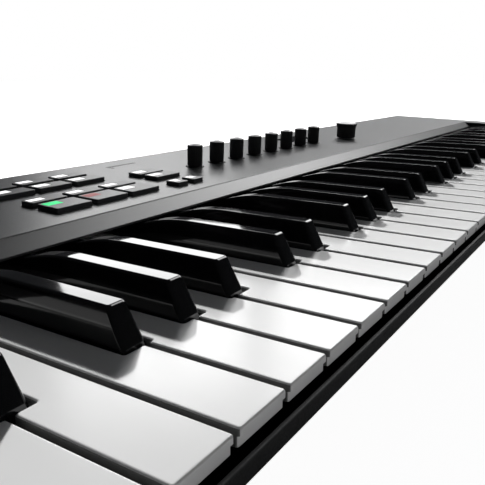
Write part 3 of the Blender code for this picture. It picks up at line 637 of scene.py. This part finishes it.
def make_panel():
    """The thin top plate, with a hole for every control."""
    edge = CREASE + SEAM
    levels = [(0, -PANEL_THICKNESS, 0.15 * MM), (0, -REAR_CHAMFER, 0.15 * MM)]
    for inset, drop in edge_steps(PANEL_EDGE):
        levels.append((inset, -drop, REAR_CHAMFER - max(drop, inset)))
    rings = []
    for inset, height, setback in levels:
        outline = rounded_outline(panel_corners(edge, setback), inset)
        rings.append([PANEL @ Vector((point.x, point.y, height)) for point in outline])
    bm = bmesh.new()
    loft_faces(bm, rings)
    skin = piece("control_panel", bm, CASE_TOP, "case", ["top_case"])
    holes = bmesh.new()
    for node in BUTTON_NODES + ["octave_rocker"]:
        add_hole(holes, cut_line(*panel_box(node), 1.0 * MM))
    for joint in [f"knob_{number}_turn" for number in KNOB_NUMBERS] + ["encoder_turn"]:
        centre = panel_coordinates(JOINTS[joint]["pos_m"])
        add_hole(holes, circle(centre.x, centre.y, SHAFT_HOLE))
    add_hole(holes, cut_line(*panel_box("display_window"), 1.5 * MM))
    for node in WHEEL_NODES:
        add_hole(holes, wheel_slot(node))
    cut(skin, holes)
    return skin


def wheel_slot(node):
    """Outline of a wheel's slot in the panel's frame."""
    centre = Vector(JOINTS[node + "_turn"]["pos_m"])
    low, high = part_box(node)
    radius = (high.y - low.y) / 2
    local = panel_coordinates(centre)
    inner = -local.z - 0.5 * MM
    half = math.sqrt(radius ** 2 - inner ** 2) + 1.4 * MM
    width = 6.5 * MM
    return rectangle(local.x - width, local.y - half, local.x + width, local.y + half, 2.0 * MM)


def extrude_x(bm, outline, x_low, x_high):
    """A side outline of (y, z, radius) corners, extruded along X."""
    points = rounded_outline(outline)
    loft_faces(bm, [[(x, point.x, point.y) for point in points] for x in (x_low, x_high)])


def make_fascia():
    """The sloping strip between the panel and the keys, with a rounded lip."""
    slope = math.atan2(LIP_DROP, LIP_RUN)
    back = Vector((math.sin(slope), -math.cos(slope))) * FASCIA_THICKNESS
    top = Vector((CREASE_Y, CREASE_Z - SEAM / 2))
    lip = top - Vector((LIP_RUN, LIP_DROP)) + Vector((0, SEAM / 2))
    outline = [(lip.x, lip.y, 0.3 * MM), (lip.x + LIP_LAND, lip.y + 0.3 * MM, 0),
               (top.x + back.x, top.y + back.y, 0.3 * MM), (top.x, top.y, 0.2 * MM),
               (lip.x, lip.y + 1.0 * MM, LIP_ROUND)]
    bm = bmesh.new()
    extrude_x(bm, outline, OPENING_LEFT + 0.05 * MM, OPENING_RIGHT - 0.05 * MM)
    return piece("fascia", bm, CASE_TOP, "case", ["top_case"])


def make_top_walls():
    """The upright walls of the top shell, under the edge of the panel."""
    left, right = CASE_LOW.x + WALL_REVEAL, CASE_HIGH.x - WALL_REVEAL
    front, rear = CASE_LOW.y + WALL_REVEAL, CASE_HIGH.y - WALL_REVEAL
    outer = [(OPENING_LEFT, LIP_REAR), (OPENING_LEFT, front), (left, front), (left, rear),
             (right, rear), (right, front), (OPENING_RIGHT, front), (OPENING_RIGHT, LIP_REAR)]
    shift = [(-1, 0), (-1, 1), (1, 1), (1, -1), (-1, -1), (-1, 1), (1, 1), (1, 0)]
    inner = [(x + sx * WALL, y + sy * WALL) for (x, y), (sx, sy) in zip(outer, shift)]
    radii = [WALL_END_CORNER] + [WALL_CORNER] * 6 + [WALL_END_CORNER]
    corners = [(x, y, radius) for (x, y), radius in zip(outer, radii)]
    corners += [(x, y, max(radius - WALL, WALL_END_CORNER))
                for (x, y), radius in reversed(list(zip(inner, radii)))]
    corners.reverse()
    low = CASE_LOW.z
    bm = bmesh.new()
    rings = []
    for inset, rise in ((0.25 * MM, 0), (0, 0.25 * MM)):
        rings.append([(point.x, point.y, low + rise) for point in rounded_outline(corners, inset)])
    top = []
    for point in rounded_outline(corners, 0):
        under = REAR_CHAMFER + 0.2 * MM if point.y > CASE_HIGH.y - 4 * MM else PANEL_THICKNESS / 2
        top.append((point.x, point.y, panel_z(point.y) - under))
    rings.append(top)
    loft_faces(bm, rings)
    return piece("top_shell_walls", bm, CASE_TOP, "case", ["top_case"])


def make_bottom():
    """The bottom shell: raked front, rounded lower edges, hollow inside."""
    high = CASE_LOW.z - 0.3 * MM
    height = high - BOTTOM_LOW.z
    levels = [(0.0, 0.25 * MM), (0.25 * MM, 0.0), (height - BOTTOM_ROUND - 4 * MM, 0.0)]
    for inset, rise in edge_steps(BOTTOM_ROUND, 4):
        levels.append((height - rise, inset))
    rings = []
    for drop, inset in levels:
        rake = FRONT_REVEAL + RAIL_OVERHANG + BOTTOM_SETBACK * drop / height
        back = max(0.0, drop - (height - BOTTOM_CHAMFER))
        corners = rectangle(CASE_LOW.x + WALL_REVEAL, CASE_LOW.y + rake, CASE_HIGH.x - WALL_REVEAL,
                            CASE_HIGH.y - WALL_REVEAL - back * 0.6, BOTTOM_CORNER)
        rings.append([(point.x, point.y, high - drop)
                      for point in rounded_outline(corners, inset)])
    rings.reverse()
    bm = bmesh.new()
    loft_faces(bm, rings, cap_last=False)
    shell = piece("bottom_shell", bm, CASE_BOTTOM, "case", ["bottom_case"])
    thicken = shell.modifiers.new("wall", "SOLIDIFY")
    thicken.thickness = BOTTOM_WALL
    thicken.offset = -1
    shell.modifiers.move(len(shell.modifiers) - 1, 0)
    bpy.context.view_layer.update()
    bake(shell, thicken)
    holes = bmesh.new()
    for node in ("usb_socket", "pedal_jack"):
        socket_low, socket_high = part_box(node)
        upright = Matrix.Rotation(math.radians(90), 4, "X")
        place = Matrix.Translation((0, socket_high.y, 0)) @ upright
        outline = rectangle(socket_low.x - HOLE_GAP, socket_low.z - HOLE_GAP,
                            socket_high.x + HOLE_GAP, socket_high.z + HOLE_GAP, 1.0 * MM)
        if node == "pedal_jack":
            middle = (socket_low + socket_high) / 2
            outline = circle(middle.x, middle.z, (socket_high.z - socket_low.z) / 2 + HOLE_GAP)
        slab(holes, outline, -PAST, PAST, 0, place)
    cut(shell, holes)
    return shell


def make_rail():
    """The strip in front of the keys."""
    low = CASE_LOW.z - 0.1 * MM
    front = CASE_LOW.y + FRONT_REVEAL
    rear = front + RAIL_THICKNESS
    outline = [(front, low, 0.4 * MM), (rear, low, 0.4 * MM), (rear, RAIL_TOP, 0.3 * MM),
               (front, RAIL_TOP, 0.7 * MM)]
    bm = bmesh.new()
    extrude_x(bm, outline, OPENING_LEFT + 0.2 * MM, OPENING_RIGHT - 0.2 * MM)
    return piece("key_rail", bm, CASE_BOTTOM, "case", ["bottom_case"])


# Controls --------------------------------------------------------------------------------------

CAP_FOOT = 1.2 * MM
LEGEND_RISE = 0.06 * MM
LEGEND_EDGE = 0.05 * MM
LEGEND_ROOT = 0.4 * MM
LEGENDS = {"play_button": GLOW_GREEN, "record_button": GLOW_RED}
RIBS = 28
RIB_DEPTH = 0.28 * MM
ENCODER_RIBS = 40
ENCODER_RIB_DEPTH = 0.35 * MM
MARK_FROM_KNOB = 43 * MM
MARK_FROM_CREASE = 90 * MM
MARK_WIDTH = 27 * MM
MARK_DEPTH = 7 * MM
MARK_UPRIGHT = 2 * MM
MARK_BAR = 2.5 * MM
WHEEL_RIBS = 72
WHEEL_DIP = 1.7 * MM
WHEEL_RIB_DEPTH = 0.25 * MM
GROOVE_RADIUS = 6 * MM
ARROW_SIZE = 1.9 * MM


def make_button(node):
    low, high = panel_box(node)
    bm = bmesh.new()
    corners = rectangle(low.x, low.y, high.x, high.y, 0.7 * MM)
    slab(bm, corners, low.z + CAP_FOOT, high.z, 0.3 * MM, PANEL)
    name = node.replace("_button", "")
    cap = piece(name + "_cap", bm, BUTTON, node, [node])
    make_legend(node, low, high)
    return cap


def make_legend(node, low, high):
    """A plain backlit field at the left end of a button, with no lettering."""
    width = (high.x - low.x) * (0.42 if high.x - low.x > 12 * MM else 0.62)
    depth = min((high.y - low.y) * 0.5, 5.5 * MM)
    left = low.x + 1.1 * MM
    top = high.y - 1.2 * MM
    bm = bmesh.new()
    corners = rectangle(left, top - depth, left + width, top, 0.5 * MM)
    slab(bm, corners, high.z - LEGEND_ROOT, high.z + LEGEND_RISE, LEGEND_EDGE, PANEL)
    name = node.replace("_button", "")
    return piece(name + "_legend", bm, LEGENDS.get(node, GLOW_WHITE), node)


def ribbed(rib_count, depth, low, high):
    """A radius function with shallow grooves between two heights."""
    def shape(radius, height, angle):
        if low < height < high:
            wave = 0.5 - 0.5 * math.cos(angle * rib_count)
            return radius - depth * wave ** 3
        return radius
    return shape


def make_knob(number):
    """A ribbed grip with a pale domed face, over a ring on the panel."""
    node = f"knob_{number}"
    low, high = panel_box(node)
    centre = (low + high) / 2
    radius = (high.x - low.x) / 2
    place = PANEL @ Matrix.Translation((centre.x, centre.y, 0))
    top = high.z
    foot = 0.7 * MM
    profile = [
        (3.0 * MM, low.z), (3.0 * MM, foot), (radius - 0.5 * MM, foot),
        (radius - 0.15 * MM, foot + 0.35 * MM),
        (radius - 0.15 * MM, foot + 0.8 * MM), (radius - 0.1 * MM, foot + 1.1 * MM),
        (radius, top - 2.2 * MM), (radius, top - 1.4 * MM), (radius - 0.1 * MM, top - 1.15 * MM),
        (radius - 0.35 * MM, top - 1.05 * MM), (radius - 0.5 * MM, top - 1.35 * MM),
    ]
    bm = bmesh.new()
    shape = ribbed(RIBS, RIB_DEPTH, foot + 1.0 * MM, top - 2.0 * MM)
    turn_faces(bm, profile, RIBS * 6, place, shape)
    piece(f"{node}_grip", bm, KNOB_SIDE, node, [node])
    bm = bmesh.new()
    cap = [(radius - 0.7 * MM, top - 1.6 * MM), (radius - 0.55 * MM, top - 1.05 * MM),
           (radius - 0.7 * MM, top - 0.9 * MM), (radius * 0.6, top - 0.45 * MM),
           (radius * 0.35, top - 0.12 * MM), (radius * 0.15, top)]
    turn_faces(bm, cap, 48, place)
    piece(f"{node}_face", bm, KNOB_TOP, node)
    bm = bmesh.new()
    ring = [(radius + 1.2 * MM, -0.3 * MM), (radius + 1.2 * MM, 0.2 * MM),
            (radius + 0.9 * MM, 0.42 * MM), (3.6 * MM, 0.42 * MM)]
    turn_faces(bm, ring, 64, place)
    piece(f"{node}_ring", bm, CASE_BOTTOM, "case")


def make_encoder():
    """The large ribbed knob, with a flared head and a pale face."""
    low, high = panel_box("encoder_cap")
    centre = (low + high) / 2
    top = high.z
    foot = low.z
    wide = (high.x - low.x) / 2
    slim = 9.0 * MM
    place = PANEL @ Matrix.Translation((centre.x, centre.y, 0))
    profile = [
        (3.3 * MM, foot + 6 * MM), (3.3 * MM, foot), (slim - 0.6 * MM, foot),
        (slim, foot + 0.6 * MM), (slim, foot + 1.2 * MM),
        (slim + 0.05 * MM, top - 6.2 * MM), (slim + 0.3 * MM, top - 5.0 * MM),
        (wide - 0.5 * MM, top - 3.2 * MM), (wide - 0.1 * MM, top - 2.7 * MM),
        (wide, top - 2.3 * MM), (wide, top - 1.6 * MM), (wide - 0.2 * MM, top - 1.3 * MM),
        (wide - 0.6 * MM, top - 1.2 * MM), (wide - 0.8 * MM, top - 1.6 * MM),
    ]
    bm = bmesh.new()
    shape = ribbed(ENCODER_RIBS, ENCODER_RIB_DEPTH, foot + 1.0 * MM, top - 2.2 * MM)
    turn_faces(bm, profile, ENCODER_RIBS * 6, place, shape)
    piece("encoder_grip", bm, KNOB_SIDE, "encoder_cap", ["encoder_cap"])
    bm = bmesh.new()
    cap = [(wide - 1.2 * MM, top - 1.9 * MM), (wide - 0.9 * MM, top - 1.25 * MM),
           (wide - 1.2 * MM, top - 1.1 * MM), (wide * 0.6, top - 0.5 * MM),
           (wide * 0.3, top - 0.12 * MM), (wide * 0.12, top)]
    turn_faces(bm, cap, 72, place)
    piece("encoder_face", bm, KNOB_TOP, "encoder_cap")


def make_mark():
    """A printed bracket on the panel, behind the buttons."""
    left = JOINTS["knob_1_turn"]["pos_m"][0] - MARK_FROM_KNOB
    right = left + MARK_WIDTH
    rear = CREASE + MARK_FROM_CREASE
    corners = [(left, rear - MARK_DEPTH), (left + MARK_UPRIGHT, rear - MARK_DEPTH),
               (left + MARK_UPRIGHT, rear - MARK_BAR), (right, rear - MARK_BAR), (right, rear),
               (left, rear)]
    bm = bmesh.new()
    rings = []
    for height in (-0.2 * MM, 0.03 * MM):
        rings.append([PANEL @ Vector((x, y, height)) for x, y in corners])
    loft_faces(bm, rings)
    piece("panel_mark", bm, MARK, "case")


def make_display():
    low, high = panel_box("display_window")
    bm = bmesh.new()
    corners = rectangle(low.x, low.y, high.x, high.y, 1.2 * MM)
    slab(bm, corners, low.z, high.z, 0.3 * MM, PANEL)
    piece("display_glass", bm, GLASS, "case", ["display_window"])


def make_wheel(node):
    """A rubber rim with fine ribs and one finger dip at the top."""
    joint = JOINTS[node + "_turn"]
    centre = Vector(joint["pos_m"])
    low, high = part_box(node)
    radius = (high.y - low.y) / 2
    half = 5.5 * MM
    sideways = Matrix.Translation(centre) @ Matrix.Rotation(math.radians(90), 4, "Y")
    groove_half = math.radians(15)

    def shape(r, height, angle):
        if r < radius * 0.8:
            return r
        away = abs(math.remainder(angle - math.pi, 2 * math.pi))
        dip = 0.0
        if away < groove_half:
            dip = WHEEL_DIP * (0.5 + 0.5 * math.cos(math.pi * away / groove_half))
        rib = WHEEL_RIB_DEPTH * (0.5 - 0.5 * math.cos(angle * WHEEL_RIBS)) ** 2
        if away < groove_half * 1.15 or abs(height) > half * 0.86:
            rib = 0.0
        return r - dip - rib

    profile = [
        (3 * MM, -half - 5 * MM), (3 * MM, -half), (radius * 0.72, -half),
        (radius * 0.78, -half + 0.5 * MM), (radius * 0.88, -half + 0.5 * MM),
        (radius * 0.9, -half), (radius - 0.9 * MM, -half),
        (radius - 0.3 * MM, -half + 0.25 * MM), (radius - 0.05 * MM, -half * 0.88),
        (radius, -half * 0.84), (radius, 0),
    ]
    profile += [(r, -h) for r, h in reversed(profile[:-1])]
    bm = bmesh.new()
    turn_faces(bm, profile, WHEEL_RIBS * 6, sideways, shape)
    piece(node + "_rim", bm, WHEEL_SKIN, node, [node])


def make_rocker():
    """The octave rocker: a cap with a shallow hollow across it and a lit arrow at each end."""
    low, high = panel_box("octave_rocker")
    middle = (low + high) / 2
    bm = bmesh.new()
    corners = rectangle(low.x, low.y, high.x, high.y, 1.0 * MM)
    slab(bm, corners, low.z + CAP_FOOT, high.z, 0.35 * MM, PANEL)
    cap = piece("octave_rocker_cap", bm, BUTTON, "octave_rocker", ["octave_rocker"])
    groove = bmesh.new()
    place = PANEL @ Matrix.Translation((middle.x, middle.y, high.z + 5.2 * MM))
    place = place @ Matrix.Rotation(math.radians(90), 4, "X")
    turn_faces(groove, [(GROOVE_RADIUS, -10 * MM), (GROOVE_RADIUS, 10 * MM)], 96, place)
    cut(cap, groove)
    bm = bmesh.new()
    for side in (-1, 1):
        x = middle.x + side * (high.x - low.x) * 0.33
        reach = side * ARROW_SIZE
        shape = [(x + reach, middle.y, 0.25 * MM), (x - reach, middle.y + reach, 0.25 * MM),
                 (x - reach, middle.y - reach, 0.25 * MM)]
        slab(bm, shape, high.z - LEGEND_ROOT, high.z + LEGEND_RISE, LEGEND_EDGE, PANEL)
    piece("octave_rocker_arrows", bm, GLOW_WHITE, "octave_rocker")


def dress_cad_nodes():
    """Materials for the CAD solids that stay."""
    looks = {"keybed_frame": STEEL, "main_board": MASK, "encoder_stem": STEEL,
             "usb_socket": PLATED, "pedal_jack": JACK}
    looks.update({name: RUBBER for name in NODES if name.startswith("foot_")})
    for node, material in looks.items():
        data = NODES[node].data
        data.materials.clear()
        data.materials.append(material)


# Stage -----------------------------------------------------------------------------------------

FLOOR_HALF = 12.0
LIGHT_AIM = Vector((0, 0, 0.05))
LIGHT_DISTANCE = 6.0
CAMERA_PLACE = (-0.40181, -0.18519, 0.12975)
CAMERA_YAW = math.radians(32.896)
CAMERA_PITCH = math.radians(15.454)
CAMERA_LENS = 44.717


def make_floor():
    """A pale floor that the camera sees as nearly white, and that fades to white further off."""
    bm = bmesh.new()
    bmesh.ops.create_grid(bm, x_segments=1, y_segments=1, size=FLOOR_HALF)
    mesh = bpy.data.meshes.new("floor")
    bm.to_mesh(mesh)
    bm.free()
    floor = bpy.data.objects.new("floor", mesh)
    bpy.context.scene.collection.objects.link(floor)
    material, nodes, links, shader = new_material("pale_floor", (0.6, 0.6, 0.6), 0.6)
    shader.inputs["Specular IOR Level"].default_value = 0.0
    shader.inputs["Emission Color"].default_value = (1, 1, 1, 1)
    path = nodes.new("ShaderNodeLightPath")
    coordinates = nodes.new("ShaderNodeTexCoord")
    away = nodes.new("ShaderNodeVectorMath")
    away.operation = "LENGTH"
    links.new(coordinates.outputs["Object"], away.inputs[0])
    backdrop = spread(nodes, links, away.outputs["Value"], 0.95, 1.0, 0.6, 1.6)
    glow = nodes.new("ShaderNodeMix")
    glow.inputs["A"].default_value = 0.0
    links.new(path.outputs["Is Camera Ray"], glow.inputs["Factor"])
    links.new(backdrop, glow.inputs["B"])
    links.new(glow.outputs["Result"], shader.inputs["Emission Strength"])
    mesh.materials.append(material)


def area_light(name, azimuth, elevation, width, height, power):
    """A soft rectangular light, placed by its direction in degrees from the aim point."""
    data = bpy.data.lights.new(name, "AREA")
    data.shape = "RECTANGLE"
    data.size = width
    data.size_y = height
    data.energy = power
    light = bpy.data.objects.new(name, data)
    bpy.context.scene.collection.objects.link(light)
    azimuth = math.radians(azimuth)
    elevation = math.radians(elevation)
    way = Vector((math.cos(azimuth) * math.cos(elevation), math.sin(azimuth) * math.cos(elevation),
                  math.sin(elevation)))
    light.location = LIGHT_AIM + way * LIGHT_DISTANCE
    light.rotation_euler = (-way).to_track_quat("-Z", "Y").to_euler()
    return light


def make_lights():
    """A small hard key light, soft reflections on the panel and keys, and a low fill in front."""
    key = area_light("key", 51, 29, 0.22, 0.22, 600)
    key.visible_glossy = False
    area_light("softbox", 43, 23, 1.9, 1.9, 52)
    far_softbox = area_light("far_softbox", 19, 27, 2.2, 1.6, 50)
    side = area_light("side", -2, 38, 2.6, 3.2, 150)
    for light in (far_softbox, side):
        light.visible_diffuse = False
    front_fill = area_light("front_fill", -85, 12, 3.0, 3.0, 42)
    front_fill.visible_glossy = False


def make_world():
    """A white backdrop for the camera, and a dim cool ambient light for everything else."""
    world = bpy.data.worlds.new("studio")
    bpy.context.scene.world = world
    world.use_nodes = True
    nodes = world.node_tree.nodes
    links = world.node_tree.links
    nodes.clear()
    output = nodes.new("ShaderNodeOutputWorld")
    mix = nodes.new("ShaderNodeMixShader")
    path = nodes.new("ShaderNodeLightPath")
    ambient = nodes.new("ShaderNodeBackground")
    ambient.inputs["Color"].default_value = (0.86, 0.9, 0.96, 1)
    ambient.inputs["Strength"].default_value = 0.035
    backdrop = nodes.new("ShaderNodeBackground")
    backdrop.inputs["Color"].default_value = (1, 1, 1, 1)
    backdrop.inputs["Strength"].default_value = 1.0
    links.new(path.outputs["Is Camera Ray"], mix.inputs["Fac"])
    links.new(ambient.outputs["Background"], mix.inputs[1])
    links.new(backdrop.outputs["Background"], mix.inputs[2])
    links.new(mix.outputs["Shader"], output.inputs["Surface"])


def make_camera():
    """Just in front of the left end, low over the keys, looking along them to the far right."""
    data = bpy.data.cameras.new("camera")
    data.sensor_width = 36
    data.lens = CAMERA_LENS
    data.clip_start = 0.01
    camera = bpy.data.objects.new("camera", data)
    bpy.context.scene.collection.objects.link(camera)
    camera.location = CAMERA_PLACE
    camera.rotation_euler = (math.pi / 2 - CAMERA_PITCH, 0, CAMERA_YAW - math.pi / 2)
    bpy.context.scene.camera = camera


def main():
    make_camera()
    make_keys()
    make_panel()
    make_fascia()
    make_top_walls()
    make_bottom()
    make_rail()
    for node in BUTTON_NODES:
        make_button(node)
    for number in KNOB_NUMBERS:
        make_knob(number)
    make_encoder()
    make_mark()
    make_display()
    for node in WHEEL_NODES:
        make_wheel(node)
    make_rocker()
    dress_cad_nodes()
    make_floor()
    make_lights()
    make_world()
    bpy.context.scene.view_settings.view_transform = "Standard"


main()
